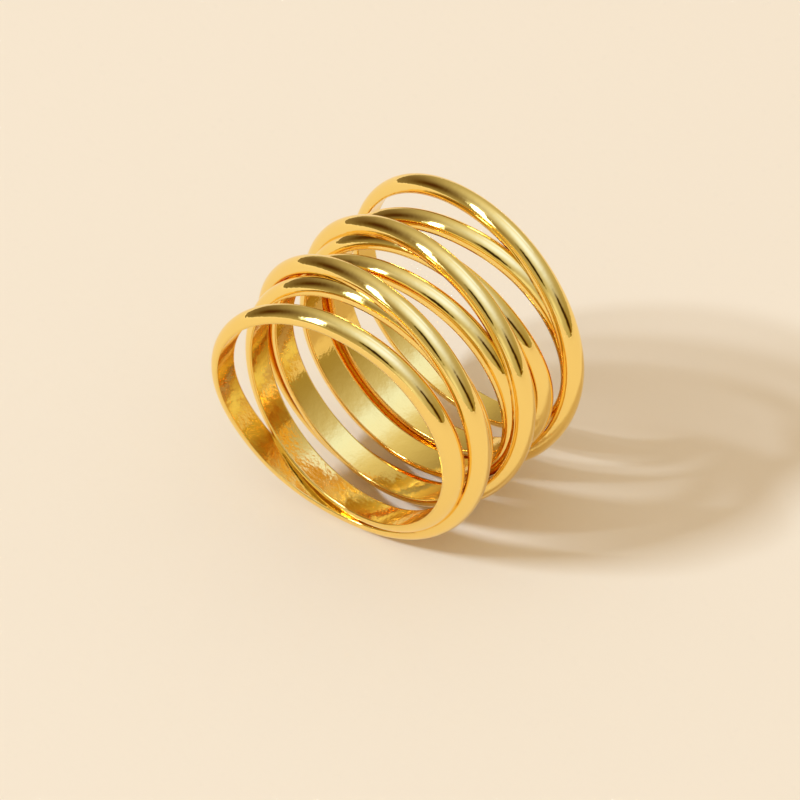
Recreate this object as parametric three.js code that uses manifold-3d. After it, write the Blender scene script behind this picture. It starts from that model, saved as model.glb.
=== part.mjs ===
// Spiral ring: one endless half-round wire, wound eight turns round the finger and soldered to itself.
// Millimetres, +Z up. The finger's axis lies along Y, and the ring rests on its round side.
import * as THREE from "three";
import { mergeVertices } from "three/addons/utils/BufferGeometryUtils.js";
import Module from "manifold-3d";

// The wire: flat inside, upright sides, round crown outside
const FINGER_RADIUS = 9.2;
const WIRE_HEIGHT = 1.02;
const SIDE_HEIGHT = 0.2;
const WIRE_WIDTH = 1.9;
const WIDTH_SWING = 0.2; // narrower by this at the top, wider by this at the bottom
const CROWN_FACETS = 7; // odd, so that the crown has a flat facet to rest on

// The over layer rides on the under layer, sunk into it by the depth of the solder
const SOLDER_DEPTH = 0.05;
const LAYER_STEP = WIRE_HEIGHT - SOLDER_DEPTH;

// Angles run in degrees along the wire: 0 left, 90 top, 180 right, 270 bottom, 360 the next turn
const FULL_TURN = 360;
const FACETS_PER_TURN = 42; // so that a facet lies flat at the bottom and keeps the ring from rolling
const CLIMB = { turn: 4, from: 275, to: 370 };
const DESCENT = { turn: 7, from: 255, to: 355 };

// Where the middle of each turn lies along the finger, read off the photo
const PLACES = [
  "left", "upper_left", "top", "upper_right",
  "right", "lower_right", "bottom", "lower_left",
];
const TURNS = [
  {
    left: -10.0, upper_left: -10.4, top: -9.6, upper_right: -8.5,
    right: -7.6, lower_right: -7.2, bottom: -6.8, lower_left: -6.5,
  },
  {
    left: -6.3, upper_left: -6.4, top: -6.0, upper_right: -5.2,
    right: -4.4, lower_right: -3.8, bottom: -3.4, lower_left: -3.3,
  },
  {
    left: -3.5, upper_left: -3.5, top: -2.8, upper_right: -1.7,
    right: -0.8, lower_right: -0.2, bottom: 0.0, lower_left: 0.0,
  },
  {
    left: -0.2, upper_left: -0.1, top: 0.5, upper_right: 1.3,
    right: 2.5, lower_right: 2.9, bottom: 2.9, lower_left: 2.9,
  },
  {
    left: 2.9, upper_left: 3.1, top: 3.7, upper_right: 5.0,
    right: 6.0, lower_right: 6.6, bottom: 7.0, lower_left: 7.1,
  },
  {
    left: 7.0, upper_left: 6.7, top: 6.0, upper_right: 5.4,
    right: 4.8, lower_right: 3.7, bottom: 2.7, lower_left: 2.1,
  },
  {
    left: 1.5, upper_left: 0.8, top: 0.2, upper_right: -0.3,
    right: -0.8, lower_right: -1.7, bottom: -2.3, lower_left: -3.0,
  },
  {
    left: -3.7, upper_left: -4.7, top: -5.5, upper_right: -5.8,
    right: -5.9, lower_right: -6.4, bottom: -6.8, lower_left: -8.4,
  },
];
const STATIONS = TURNS.flatMap((turn) => PLACES.map((place) => turn[place]));
const STATION_STEP = FULL_TURN / PLACES.length;

// Place along the finger at an angle along the wire: a Catmull-Rom curve through the stations
function placeAlongFinger(angle) {
  const along = angle / STATION_STEP;
  const first = Math.floor(along);
  const t = along - first;
  const count = STATIONS.length;
  const [a, b, c, d] = [-1, 0, 1, 2].map((k) => STATIONS[(first + k + count) % count]);
  const bend = 2 * a - 5 * b + 4 * c - d;
  const twist = 3 * (b - c) + d - a;
  return b + 0.5 * t * (c - a + t * (bend + t * twist));
}

// Share of a layer step at which the wire runs: 0 in the under layer, 1 in the over layer
function layerShare(angle) {
  const climb = CLIMB.turn * FULL_TURN;
  const descent = DESCENT.turn * FULL_TURN;
  const up = THREE.MathUtils.smoothstep(angle, climb + CLIMB.from, climb + CLIMB.to);
  const down = THREE.MathUtils.smoothstep(angle, descent + DESCENT.from, descent + DESCENT.to);
  return up - down;
}

// Section of the wire: across it in x, outward from the finger in y
function wireSection() {
  const half = WIRE_WIDTH / 2;
  const shape = new THREE.Shape();
  shape.moveTo(-half, 0);
  shape.lineTo(half, 0);
  for (let i = 0; i <= CROWN_FACETS; i++) {
    const t = (Math.PI * i) / CROWN_FACETS;
    shape.lineTo(half * Math.cos(t), SIDE_HEIGHT + (WIRE_HEIGHT - SIDE_HEIGHT) * Math.sin(t));
  }
  shape.closePath();
  return shape;
}

// One turn: a straight bar of the wire's section, wound round the finger
function woundTurn(turn) {
  const steps = FACETS_PER_TURN;
  const bar = new THREE.ExtrudeGeometry(wireSection(), { depth: steps, steps, bevelEnabled: false });
  bar.deleteAttribute("normal");
  bar.deleteAttribute("uv");
  const wire = mergeVertices(bar);
  const position = wire.getAttribute("position");
  for (let i = 0; i < position.count; i++) {
    const station = Math.round(position.getZ(i));
    const angle = ((turn * steps + station) * FULL_TURN) / steps;
    const round = THREE.MathUtils.degToRad(angle % FULL_TURN);
    const width = WIRE_WIDTH - WIDTH_SWING * Math.sin(round);
    const across = (position.getX(i) * width) / WIRE_WIDTH;
    const along = placeAlongFinger(angle) + across;
    const radius = FINGER_RADIUS + layerShare(angle) * LAYER_STEP + position.getY(i);
    position.setXYZ(i, -radius * Math.cos(round), along, radius * Math.sin(round));
  }
  return wire;
}

// Joins the turns into one solid
async function solderTurns(geometries) {
  const wasm = await Module();
  wasm.setup();
  const solids = geometries.map((geometry) => new wasm.Manifold(new wasm.Mesh({
    numProp: 3,
    vertProperties: new Float32Array(geometry.getAttribute("position").array),
    triVerts: new Uint32Array(geometry.getIndex().array),
  })));
  const mesh = solids.reduce((joined, solid) => joined.add(solid)).getMesh();
  const geometry = new THREE.BufferGeometry();
  geometry.setAttribute("position", new THREE.BufferAttribute(mesh.vertProperties, 3));
  geometry.setIndex(new THREE.BufferAttribute(mesh.triVerts, 1));
  return geometry;
}

// The ring: its box stands on the origin, with the flat facets of the over layer on the floor
async function spiralWire() {
  const geometry = await solderTurns(TURNS.map((_, turn) => woundTurn(turn)));
  geometry.computeBoundingBox();
  const { min, max } = geometry.boundingBox;
  geometry.translate(-(min.x + max.x) / 2, -(min.y + max.y) / 2, -min.z);
  geometry.computeVertexNormals();
  const gold = new THREE.MeshStandardMaterial({ color: 0xe6b450, roughness: 0.15, metalness: 1 });
  const mesh = new THREE.Mesh(geometry, gold);
  mesh.name = "spiral_wire";
  return mesh;
}

const ring = new THREE.Group();
ring.add(await spiralWire());

export default ring;
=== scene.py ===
# %% [markdown]
# A spiral ring in polished gold, lying on its round side on cream paper. The ring is one endless
# half-round wire that goes eight times round the finger: five turns side by side, and three that
# slant across them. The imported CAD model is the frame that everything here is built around.

# %% Load the frame
import math

import bmesh
import bpy
import numpy as np
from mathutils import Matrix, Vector
from mathutils.bvhtree import BVHTree


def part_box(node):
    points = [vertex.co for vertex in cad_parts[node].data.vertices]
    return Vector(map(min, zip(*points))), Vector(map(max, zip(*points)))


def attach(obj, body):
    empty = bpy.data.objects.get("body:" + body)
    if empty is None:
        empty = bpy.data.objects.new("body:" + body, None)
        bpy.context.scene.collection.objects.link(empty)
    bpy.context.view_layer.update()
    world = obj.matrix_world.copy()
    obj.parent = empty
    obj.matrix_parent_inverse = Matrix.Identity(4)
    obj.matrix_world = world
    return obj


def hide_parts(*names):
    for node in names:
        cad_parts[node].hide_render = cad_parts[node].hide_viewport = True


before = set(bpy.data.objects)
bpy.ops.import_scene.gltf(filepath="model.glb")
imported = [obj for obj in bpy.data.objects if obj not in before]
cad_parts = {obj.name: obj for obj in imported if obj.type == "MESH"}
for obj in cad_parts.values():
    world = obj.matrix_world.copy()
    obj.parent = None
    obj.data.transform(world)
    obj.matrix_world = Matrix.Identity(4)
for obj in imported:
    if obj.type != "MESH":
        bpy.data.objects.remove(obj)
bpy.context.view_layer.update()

MM = 0.001
low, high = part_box("spiral_wire")
print("the CAD ring measures", [round(size / MM, 2) for size in high - low], "mm")

# %% [markdown]
# The ring lies on its over layer. So the finger's axis is as high above the paper as the radius of
# the hole, one step between the layers and one wire. The over layer is sunk a little into the
# under layer, as deep as the solder goes. RING_MIDDLE is how far the CAD model moved its turns
# along the finger, to bring its box to the middle.

# %% Where the ring is
FINGER_RADIUS = 9.2 * MM
WIRE_HEIGHT = 1.02 * MM
SOLDER_DEPTH = 0.05 * MM
LAYER_STEP = WIRE_HEIGHT - SOLDER_DEPTH
RING_MIDDLE = 1.589 * MM
AXIS_HEIGHT = FINGER_RADIUS + LAYER_STEP + WIRE_HEIGHT
RING_AXIS = Vector((0, RING_MIDDLE, AXIS_HEIGHT))
print("the finger's axis lies", round(AXIS_HEIGHT / MM, 2), "mm above the paper")

# %% [markdown]
# The camera comes early, so that every later look is at the photograph's view. It stands to the
# right of the finger hole and looks down on it. A long lens from 40 cm away gives the flat
# perspective of a product photograph. Moving the camera back and turning it by hand would work
# too, but a direction and a distance are easier to set right.

# %% The camera
CAMERA_AZIMUTH = math.radians(38.5)
CAMERA_ELEVATION = math.radians(41.2)
CAMERA_DISTANCE = 0.4
NEAREST_SEEN = 0.01
SENSOR = 36.0
LENS = 252.3
FRAME_CENTRE_RIGHT = -1.08 * MM
FRAME_CENTRE_UP = -3.15 * MM

back = Vector((
    math.sin(CAMERA_AZIMUTH) * math.cos(CAMERA_ELEVATION),
    -math.cos(CAMERA_AZIMUTH) * math.cos(CAMERA_ELEVATION),
    math.sin(CAMERA_ELEVATION),
))
right = Vector((math.cos(CAMERA_AZIMUTH), math.sin(CAMERA_AZIMUTH), 0))
up = back.cross(right)
bpy.ops.object.camera_add(location=RING_AXIS + CAMERA_DISTANCE * back)
camera = bpy.context.object
camera.name = "camera"
aim = RING_AXIS + FRAME_CENTRE_RIGHT * right + FRAME_CENTRE_UP * up
camera.rotation_euler = (aim - camera.location).to_track_quat("-Z", "Y").to_euler()
camera.data.sensor_width = SENSOR
camera.data.lens = LENS
camera.data.clip_start = NEAREST_SEEN
bpy.context.scene.camera = camera
print("the camera stands at", [round(c, 3) for c in camera.location], "m")

# %% [markdown]
# The floor is a sheet of smooth cream paper, much wider than the view, so that its edge never
# shows and the gold has something even to mirror. It is part of the stage and not of the ring.

# %% The paper floor
FLOOR_SIZE = 3.0

bpy.ops.object.select_all(action="DESELECT")
bpy.ops.mesh.primitive_plane_add(size=FLOOR_SIZE, location=(0, 0, 0))
floor = bpy.context.object
floor.name = "paper_floor"
print("the paper is", FLOOR_SIZE, "m square")

# %% [markdown]
# The wire is modelled as one short slice of a straight bar, because all of it has the same half
# round section. The slice starts as a tube, cut in half along its length and squashed a little. It
# is drawn a thousand times too large, in millimetres, because Blender's merge distances suit
# things of about that size. A curve with a profile would be quicker, but a curve turns its profile
# about the curve, and this wire stays flat to the finger.

# %% The round crown of one slice
WIRE_WIDTH = 1.9
SIDE_HEIGHT = 0.2
CROWN_HEIGHT = WIRE_HEIGHT / MM - SIDE_HEIGHT
TUBE_SIDES = 48
NEAR = 1e-4  # closer than this counts as the same place

bpy.ops.object.select_all(action="DESELECT")
bpy.ops.mesh.primitive_cylinder_add(
    vertices=TUBE_SIDES, radius=1, depth=1, end_fill_type="NOTHING",
    location=(0, 0.5, 0), rotation=(math.pi / 2, 0, 0),
)
wire = bpy.context.object
wire.name = "gold_wire"
bpy.ops.object.transform_apply(location=True, rotation=True, scale=True)
bpy.ops.object.mode_set(mode="EDIT")
bpy.ops.mesh.select_all(action="SELECT")
bpy.ops.mesh.bisect(
    plane_co=(0, 0, 0), plane_no=(0, 0, 1), clear_inner=True, use_fill=False, threshold=NEAR,
)
bpy.ops.mesh.select_all(action="SELECT")
bpy.ops.transform.resize(value=(WIRE_WIDTH / 2, 1, CROWN_HEIGHT), center_override=(0, 0, 0))
bpy.ops.transform.translate(value=(0, 0, SIDE_HEIGHT))
print("the crown has", len(bmesh.from_edit_mesh(wire.data).faces), "faces across")

# %% [markdown]
# The two long edges of the crown are pulled down into low side walls. They are then extruded once
# more and moved inwards by a narrow strip, and a face from strip to strip closes the inside. The
# strips hold the shading of the inside flat right up to its arrises. A single face would do for
# the shape, but the smooth shading of the arrises would spread over it.

# %% The side walls and the flat inside
STRIP = 0.1


def select_edges(thing, wanted):
    """Selects, in edit mode, the edges both of whose ends are wanted."""
    bpy.ops.mesh.select_all(action="DESELECT")
    shape = bmesh.from_edit_mesh(thing.data)
    for edge in shape.edges:
        edge.select_set(all(wanted(vertex.co) for vertex in edge.verts))
    bmesh.update_edit_mesh(thing.data)


select_edges(wire, lambda co: abs(co.z - SIDE_HEIGHT) < NEAR and abs(co.x) > NEAR)
bpy.ops.mesh.extrude_edges_move(TRANSFORM_OT_translate={"value": (0, 0, -SIDE_HEIGHT)})
select_edges(wire, lambda co: abs(co.z) < NEAR)
bpy.ops.mesh.extrude_edges_move(TRANSFORM_OT_translate={"value": (0, 0, 0)})
bpy.ops.transform.resize(value=(1 - 2 * STRIP / WIRE_WIDTH, 1, 1), center_override=(0, 0, 0))
bpy.ops.mesh.bridge_edge_loops()
print("the slice has", len(bmesh.from_edit_mesh(wire.data).faces), "faces before its arrises")

# %% [markdown]
# The real arrises are rubbed round where they touch the finger. A bevel of three segments does the
# same to the two outer edges of the inside, and to no other edge. Left sharp, they would catch no
# line of light.

# %% Soften the inner arrises
ARRIS = 0.05
ARRIS_SEGMENTS = 3

select_edges(wire, lambda co: abs(co.z) < NEAR and abs(co.x) > WIRE_WIDTH / 2 - NEAR)
bpy.ops.mesh.bevel(offset=ARRIS, segments=ARRIS_SEGMENTS, affect="EDGES", clamp_overlap=True)
bpy.ops.mesh.select_all(action="SELECT")
bpy.ops.mesh.normals_make_consistent(inside=False)
bpy.ops.object.mode_set(mode="OBJECT")
print("the slice has", len(wire.data.polygons), "faces")

# %% [markdown]
# An Array modifier lays the slices end to end, enough for eight turns of the ring, and welds each
# to the next. Each slice is one unit long, so a point's place along the bar counts the slices. The
# array is applied, so that the bar can be wound.

# %% The straight bar
TURNS = 8
SLICES_PER_TURN = 150


def select_only(thing):
    """Leaves just this object selected and active."""
    bpy.ops.object.select_all(action="DESELECT")
    thing.select_set(True)
    bpy.context.view_layer.objects.active = thing


array = wire.modifiers.new("slices", "ARRAY")
array.count = TURNS * SLICES_PER_TURN
array.use_relative_offset = False
array.use_constant_offset = True
array.constant_offset_displace = (0, 1, 0)
array.use_merge_vertices = True
array.merge_threshold = 10 * NEAR
select_only(wire)
bpy.ops.object.modifier_apply(modifier=array.name)
print("the bar has", len(wire.data.vertices), "points")

# %% [markdown]
# Now the bar is wound round the finger. On the real ring a goldsmith does this on a mandrel. A
# Curve modifier is Blender's own way, but it would lean the section with the slant of the strand.
# So each point is moved by the rule that the CAD model uses: its place along the bar is an angle
# round the finger, and its height is added to the radius. Where each turn lies along the finger,
# at eight places round the ring, comes from a program: it fitted the strands to edge points that
# were traced by hand on the photograph, and its result was rounded to a tenth of a millimetre. The
# angles run 0 left, 90 top, 180 right, 270 bottom.

# %% Where each turn lies along the finger, in millimetres
PLACES = ["left", "upper_left", "top", "upper_right", "right", "lower_right", "bottom", "lower_left"]
MIDDLES = [
    dict(zip(PLACES, [-10.0, -10.4, -9.6, -8.5, -7.6, -7.2, -6.8, -6.5])),
    dict(zip(PLACES, [-6.3, -6.4, -6.0, -5.2, -4.4, -3.8, -3.4, -3.3])),
    dict(zip(PLACES, [-3.5, -3.5, -2.8, -1.7, -0.8, -0.2, 0.0, 0.0])),
    dict(zip(PLACES, [-0.2, -0.1, 0.5, 1.3, 2.5, 2.9, 2.9, 2.9])),
    dict(zip(PLACES, [2.9, 3.1, 3.7, 5.0, 6.0, 6.6, 7.0, 7.1])),
    dict(zip(PLACES, [7.0, 6.7, 6.0, 5.4, 4.8, 3.7, 2.7, 2.1])),
    dict(zip(PLACES, [1.5, 0.8, 0.2, -0.3, -0.8, -1.7, -2.3, -3.0])),
    dict(zip(PLACES, [-3.7, -4.7, -5.5, -5.8, -5.9, -6.4, -6.8, -8.4])),
]
STATIONS = np.array([turn[place] for turn in MIDDLES for place in PLACES])
FULL_TURN = 360.0
STATION_STEP = FULL_TURN / len(PLACES)


def place_along_finger(angle):
    """A smooth Catmull-Rom curve through the stations, closed on itself."""
    along = angle / STATION_STEP
    first = np.floor(along).astype(int)
    t = along - first
    a, b, c, d = (STATIONS[(first + k) % len(STATIONS)] for k in (-1, 0, 1, 2))
    bend = 2 * a - 5 * b + 4 * c - d
    twist = 3 * (b - c) + d - a
    return b + 0.5 * t * (c - a + t * (bend + t * twist))


# %% [markdown]
# At the end of the fifth turn the wire climbs onto the layer that it has laid, and at the end of
# the eighth it comes down again beside its own start. Both steps run from the bottom of the ring
# up its left side, the first at the back and the second at the front, and both are eased at
# either end, as a wire bends.

# %% Which layer the wire runs in
CLIMB = (4 * FULL_TURN + 275, 4 * FULL_TURN + 370)
DESCENT = (7 * FULL_TURN + 255, 7 * FULL_TURN + 355)


def smooth_step(value, start, end):
    """Rises from 0 at the start to 1 at the end, and is level at both."""
    t = np.clip((value - start) / (end - start), 0, 1)
    return t * t * (3 - 2 * t)


def layer_share(angle):
    """0 in the under layer, 1 in the over layer that lies across it."""
    return smooth_step(angle, *CLIMB) - smooth_step(angle, *DESCENT)


# %% [markdown]
# Now every point of the bar goes to its place. The wire is a little narrower at the top of the
# ring than at the bottom, as the photograph shows. The points of the flat inside are marked, while
# their height above it is still known, because the material has to tell them from the rest.

# %% Wind the bar round the finger
WIDTH_SWING = 0.2

points = np.empty(len(wire.data.vertices) * 3)
wire.data.vertices.foreach_get("co", points)
across, station, height = points.reshape(-1, 3).T
angle = station * FULL_TURN / SLICES_PER_TURN
turned = np.radians(angle % FULL_TURN)
width = WIRE_WIDTH - WIDTH_SWING * np.sin(turned)
radius = FINGER_RADIUS + layer_share(angle) * LAYER_STEP + height * MM
wound = np.column_stack([
    -radius * np.cos(turned),
    (place_along_finger(angle) + across * width / WIRE_WIDTH) * MM + RING_MIDDLE,
    radius * np.sin(turned) + AXIS_HEIGHT,
])
mark = wire.data.attributes.new("inside", "FLOAT", "POINT")
mark.data.foreach_set("value", (height < NEAR).astype(np.float32))
wire.data.vertices.foreach_set("co", wound.ravel())
wire.data.update()
print("wound", TURNS, "turns, lowest point", round(wound[:, 2].min() / MM, 3), "mm")

# %% [markdown]
# The end of the last turn now lies on the start of the first. Welding the two closes the wire,
# and after that its normals are made to point outwards. Smooth shading makes one round surface of
# the crown. The arrises need no sharp mark: their bevels and strips are narrow enough to look
# crisp.

# %% Close the wire and shade it
WELD = 0.005 * MM

select_only(wire)
bpy.ops.object.mode_set(mode="EDIT")
bpy.ops.mesh.select_all(action="SELECT")
bpy.ops.mesh.remove_doubles(threshold=WELD)
bpy.ops.mesh.normals_make_consistent(inside=False)
open_edges = sum(edge.is_boundary for edge in bmesh.from_edit_mesh(wire.data).edges)
bpy.ops.object.mode_set(mode="OBJECT")
bpy.ops.object.shade_smooth()
print("the wire has", len(wire.data.polygons), "faces and", open_edges, "open edges")

# %% [markdown]
# A polishing wheel can't reach into the narrow slots between the strands, so the gold there is
# rougher. The slots also lie in shade, and light mirrored there from gold to gold turns a deep red,
# so that shade is painted into the gold's colour. A short ray sent straight out from each point tells
# how near the next strand is. The result is kept on the points, where the material can read it.

# %% Measure the slots between the strands
# How far each ray looks for the next strand: the nearer that strand, the deeper the painted shade and
# the rougher the gold.
SLOT_RAY_LENGTH = 0.5 * MM
RAY_START = 0.02 * MM

surface = BVHTree.FromObject(wire, bpy.context.evaluated_depsgraph_get())
slot_depth = []
for vertex in wire.data.vertices:
    start = vertex.co + RAY_START * vertex.normal
    hit, _, _, distance = surface.ray_cast(start, vertex.normal, SLOT_RAY_LENGTH)
    slot_depth.append(0.0 if hit is None else 1 - distance / SLOT_RAY_LENGTH)
wire.data.attributes.new("slot", "FLOAT", "POINT").data.foreach_set("value", slot_depth)
print("points in a slot:", sum(depth > 0 for depth in slot_depth), "of", len(slot_depth))

# %% [markdown]
# Shader maths reads best as plain expressions. This class wraps a node's output, so that adding or
# multiplying two of them adds the Math node for it. Its node method adds every other node.

# %% Shader expressions


class Socket:
    """A node's output that can be used in an expression."""

    def __init__(self, tree, out):
        self.tree = tree
        self.out = out

    @classmethod
    def node(cls, tree, kind, settings, sockets, out=0):
        """Adds a node: its type, its settings, then the values or links of its sockets."""
        made = tree.nodes.new(kind)
        for name, value in settings.items():
            setattr(made, name, value)
        for name, value in sockets.items():
            if isinstance(value, cls):
                tree.links.new(value.out, made.inputs[name])
            else:
                made.inputs[name].default_value = value
        return cls(tree, made.outputs[out])

    def combine(self, operation, first, second):
        """Adds a Math node for two values, of which either may be a plain number."""
        return self.node(self.tree, "ShaderNodeMath", {"operation": operation}, {0: first, 1: second})

    def __add__(self, other):
        return self.combine("ADD", self, other)

    __radd__ = __add__

    def __mul__(self, other):
        return self.combine("MULTIPLY", self, other)

    __rmul__ = __mul__

    def __sub__(self, other):
        return self.combine("SUBTRACT", self, other)

    def __rsub__(self, other):
        return self.combine("SUBTRACT", other, self)


node = Socket.node


def mix(tree, share, first, second):
    """Mixes two colours, by the numbers of the Mix node's colour sockets."""
    return node(tree, "ShaderNodeMix", {"data_type": "RGBA"}, {0: share, 6: first, 7: second}, 2)


# %% [markdown]
# Polished gold is all metal: its colour is the colour of what it mirrors, warmed. A metal can be one
# constant colour, but this ring has two surfaces: the mirror bright outside, and the flat inside that
# was only lightly polished and is a deeper orange. Down in the slots between the strands the colour
# is darkened and reddened, which is painted shade. So the colour follows the two marks on the points.

# %% Polished gold
GOLD = (1.0, 0.735, 0.235, 1)
GOLD_INSIDE = (0.94, 0.65, 0.165, 1)
# The slot colour is painted shade: a dark red for the shade and the gold-to-gold reflections between
# the strands.
PAINTED_SLOT_SHADE = (0.6, 0.28, 0.07, 1)

gold = bpy.data.materials.new("polished_gold")
gold.use_nodes = True
tree = gold.node_tree
shader = tree.nodes["Principled BSDF"]
shader.inputs["Metallic"].default_value = 1.0
place = node(tree, "ShaderNodeTexCoord", {}, {}, "Object")
inside = node(tree, "ShaderNodeAttribute", {"attribute_name": "inside"}, {}, "Fac")
slot = node(tree, "ShaderNodeAttribute", {"attribute_name": "slot"}, {}, "Fac")
polished = mix(tree, inside, GOLD, GOLD_INSIDE)
# The slot mark paints that shade into the colour, strongest deep in a slot.
colour = mix(tree, slot * slot, polished, PAINTED_SLOT_SHADE)
tree.links.new(colour.out, shader.inputs["Base Color"])
print("the gold has", len(tree.nodes), "nodes so far")

# %% [markdown]
# Hand polishing leaves faint waves and a few scuffs, and the inside ripples and has a fine grain.
# This relief is a few hundredths of a millimetre deep. Modelling it would take millions of faces,
# so it is bump alone, with noise of four sizes added up.

# %% The relief of the polish, in millimetres
WAVE_DEPTH = 0.02
SCUFF_DEPTH = 0.008
RIPPLE_DEPTH = 0.022
GRAIN_DEPTH = 0.006


def noise(place, scale, detail):
    """Soft random values around a half, with about so many swells to the metre."""
    sockets = {"Vector": place, "Scale": scale, "Detail": detail}
    return node(place.tree, "ShaderNodeTexNoise", {}, sockets)


waves = noise(place, 500.0, 2.0)
ripples = noise(place, 700.0, 1.0)
scuffs = noise(place, 2200.0, 1.0)
grain = noise(place, 5000.0, 2.0)
polish = WAVE_DEPTH * waves + SCUFF_DEPTH * scuffs
relief = polish + inside * (RIPPLE_DEPTH * ripples + GRAIN_DEPTH * grain)
bump = node(tree, "ShaderNodeBump", {}, {"Strength": 1.0, "Distance": MM, "Height": relief}, "Normal")
tree.links.new(bump.out, shader.inputs["Normal"])
print("the relief is up to", WAVE_DEPTH + SCUFF_DEPTH + RIPPLE_DEPTH + GRAIN_DEPTH, "mm deep")

# %% [markdown]
# Where the wheel polished less, the mirror image is softer. So the roughness starts near nothing
# on the outside and rises with the waves, on the flat inside, and most of all down in the slots.

# %% The roughness of the polish
MIRROR = 0.02
WAVES_ADD = 0.02
INSIDE_ADDS = 0.06
SLOTS_ADD = 0.1

roughness = MIRROR + WAVES_ADD * waves + INSIDE_ADDS * inside + SLOTS_ADD * slot
tree.links.new(roughness.out, shader.inputs["Roughness"])
wire.data.materials.clear()
wire.data.materials.append(gold)
print("the gold has", len(tree.nodes), "nodes")

# %% The wire stands for the CAD ring
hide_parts("spiral_wire")
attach(wire, "root")

# %% [markdown]
# The paper is almost white, warmed towards cream, and matt. Its tooth is so faint that a little
# bump is all it needs.

# %% Cream paper
PAPER = (0.88, 0.78, 0.64, 1)
TOOTH_DEPTH = 0.05 * MM
TOOTH_STRENGTH = 0.15

paper = bpy.data.materials.new("cream_paper")
paper.use_nodes = True
tree = paper.node_tree
shader = tree.nodes["Principled BSDF"]
shader.inputs["Base Color"].default_value = PAPER
shader.inputs["Roughness"].default_value = 0.9
shader.inputs["Specular IOR Level"].default_value = 0.1
place = node(tree, "ShaderNodeTexCoord", {}, {}, "Object")
fibres = noise(place, 900.0, 3.0)
tooth = node(
    tree, "ShaderNodeBump", {},
    {"Strength": TOOTH_STRENGTH, "Distance": TOOTH_DEPTH, "Height": fibres}, "Normal",
)
tree.links.new(tooth.out, shader.inputs["Normal"])
floor.data.materials.append(paper)
print("the paper has", len(tree.nodes), "nodes")

# %% [markdown]
# The shadow shows where the main light stood: in front on the left, well above the ring, wide and
# not tall, and a little cooler than the light that fills the shadow. A rectangular area light
# throws the same shadow. The gold doesn't mirror this lamp. Its image is painted into the room
# below instead, with the soft edges and at the place that the glints on the strands show.

# %% The key light
KEY_AZIMUTH = math.radians(-128)
KEY_ELEVATION = math.radians(38)
KEY_DISTANCE = 3.0
KEY_SIZE = (0.63, 0.12)
KEY_POWER = 71.5
KEY_COLOUR = (0.68, 0.82, 1.0)


def toward(azimuth, elevation):
    """The direction in which something stands, seen from the ring. Azimuth 0 is +X, 90 is +Y."""
    return Vector((
        math.cos(azimuth) * math.cos(elevation),
        math.sin(azimuth) * math.cos(elevation),
        math.sin(elevation),
    ))


key_direction = toward(KEY_AZIMUTH, KEY_ELEVATION)
bpy.ops.object.light_add(type="AREA", location=RING_AXIS + KEY_DISTANCE * key_direction)
key = bpy.context.object
key.name = "key_light"
key.rotation_euler = key_direction.to_track_quat("Z", "Y").to_euler()
key.data.shape = "RECTANGLE"
key.data.size, key.data.size_y = KEY_SIZE
key.data.energy = KEY_POWER
key.data.color = KEY_COLOUR
key.visible_glossy = False
print("the key light stands at", [round(c, 2) for c in key.location], "m")

# %% [markdown]
# Polished metal shows the whole room, so the room has to be there too: pale cloth overhead, the
# key light with a glow above it, darker corners, and the pale edge of the table in front. Cards
# and cloths could be built as objects, but they would stand in the way of other views. So the room
# is painted into the world as a few soft spots, each one brightest or darkest in the middle. This
# list says where they are, as the photograph's gold shows them.

# %% The room that the gold mirrors
ROOM_BASE = (0.53, 0.47, 0.3)
ROOM_SPOTS = [
    # azimuth, elevation and half width in degrees, then what the spot adds to the room
    {"name": "cloth overhead", "at": (-5, 66), "half": 27, "adds": (0.48, 0.74, 1.4)},
    {"name": "cool middle of that cloth", "at": (5, 66), "half": 18, "adds": (0.0, 0.06, 0.9)},
    {"name": "cloth on the far side", "at": (100, 60), "half": 26, "adds": (0.26, 0.3, 0.4)},
    {"name": "bright edge of it, right half", "at": (64, 50), "half": 7, "adds": (0.16, 0.4, 1.4)},
    {"name": "bright edge of it, left half", "at": (84, 54), "half": 7, "adds": (0.14, 0.34, 1.2)},
    {"name": "key light, top", "at": (-125, 46), "half": 2.8, "adds": (20, 24, 30)},
    {"name": "key light, upper part", "at": (-121, 37), "half": 2.8, "adds": (50, 60, 75)},
    {"name": "key light, lower part", "at": (-117, 28), "half": 2.8, "adds": (50, 60, 75)},
    {"name": "key light, foot", "at": (-113, 18), "half": 2.8, "adds": (10, 12, 15)},
    {"name": "glow above the key light", "at": (-132, 56), "half": 7, "adds": (0.32, 0.36, 0.5)},
    {"name": "dark stand, upper part", "at": (-70, 37), "half": 7, "adds": (-0.8, -0.8, -0.9)},
    {"name": "dark stand, lower part", "at": (-66, 26), "half": 6, "adds": (-0.8, -0.8, -0.9)},
    {"name": "shade left of the stand", "at": (-102, 28), "half": 15, "adds": (-0.2, -0.2, -0.16)},
    {"name": "doorway, upper part", "at": (-5, 22), "half": 7, "adds": (-0.7, -0.75, -0.8)},
    {"name": "doorway, lower part", "at": (1, 8), "half": 8, "adds": (-0.5, -0.55, -0.6)},
    {"name": "shade on the right", "at": (25, 8), "half": 24, "adds": (-0.16, -0.18, -0.2)},
    {"name": "dark wall on the left", "at": (-160, 24), "half": 26, "adds": (-0.45, -0.44, -0.31)},
    {"name": "dark wall behind", "at": (158, 8), "half": 18, "adds": (-0.24, -0.24, -0.16)},
    {"name": "pale table edge", "at": (-56, 8), "half": 11, "adds": (0.42, 0.48, 0.55)},
]
ROOM_DARKEST = (0.04, 0.025, 0.01)
print("the room has", len(ROOM_SPOTS), "soft spots")

# %% [markdown]
# The world's shader knows in which direction a ray looks. How far that is from a spot's middle
# gives how much the spot adds: all of it in the middle, half of it at its half width, and about a
# sixteenth of it at twice that. The spots are added up one after another, and the darkest ones
# stop short of black.

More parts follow.
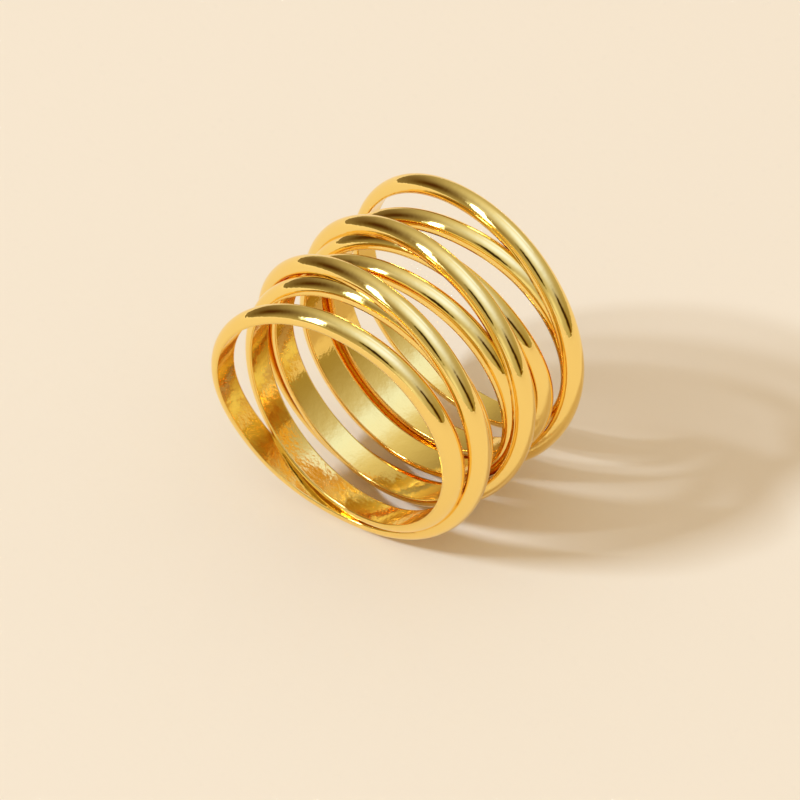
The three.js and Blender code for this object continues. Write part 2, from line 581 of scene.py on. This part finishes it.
# %% Paint the room into the world
world = bpy.data.worlds.new("room")
bpy.context.scene.world = world
world.use_nodes = True
room = world.node_tree


def vector_maths(operation, sockets, out="Vector"):
    """Adds a Vector Math node to the room."""
    return node(room, "ShaderNodeVectorMath", {"operation": operation}, sockets, out)


looking = node(room, "ShaderNodeTexCoord", {}, {}, "Generated")
light = ROOM_BASE
for spot in ROOM_SPOTS:
    azimuth, elevation, half = (math.radians(a) for a in (*spot["at"], spot["half"]))
    sharpness = math.log(2) / (1 - math.cos(half))
    facing = vector_maths("DOT_PRODUCT", {0: looking, 1: toward(azimuth, elevation)}, "Value")
    spread = node(room, "ShaderNodeMath", {"operation": "EXPONENT"}, {0: (facing - 1) * sharpness})
    adds = vector_maths("SCALE", {0: spot["adds"], "Scale": spread})
    light = vector_maths("ADD", {0: light, 1: adds})
light = vector_maths("MAXIMUM", {0: light, 1: ROOM_DARKEST})
print("the world has", len(room.nodes), "nodes so far")

# %% [markdown]
# The paper has no use for those spots: it takes an even, slightly warm light from all sides. So
# only mirrored rays see the painted room, and every other ray sees the plain fill, which is also
# the plain backdrop behind the ring in a low view.

# %% The fill for everything else
FILL = (0.73, 0.62, 0.477, 1)

mirrored = node(room, "ShaderNodeLightPath", {}, {}, "Is Glossy Ray")
seen = mix(room, mirrored, FILL, light)
room.links.new(seen.out, room.nodes["Background"].inputs["Color"])
world.cycles.sampling_method = "NONE"
print("paper and shadow see the plain fill", FILL[:3])

# %% [markdown]
# Between the strands a ray is mirrored from gold to gold many times before it leaves, and each
# mirroring makes it a deeper orange. The usual four bounces are too few for that, and the slots
# would end black.
# The Standard view shows the colours as they are. A film-like view would grey the gold.

# %% Bounces and colour management
BOUNCES = 16

bpy.context.scene.cycles.max_bounces = BOUNCES
bpy.context.scene.cycles.glossy_bounces = BOUNCES
bpy.context.scene.view_settings.view_transform = "Standard"
print("a ray may bounce", BOUNCES, "times")

# %% [markdown]
# Last, the view layer is brought up to date.

# %% Finish
bpy.context.view_layer.update()
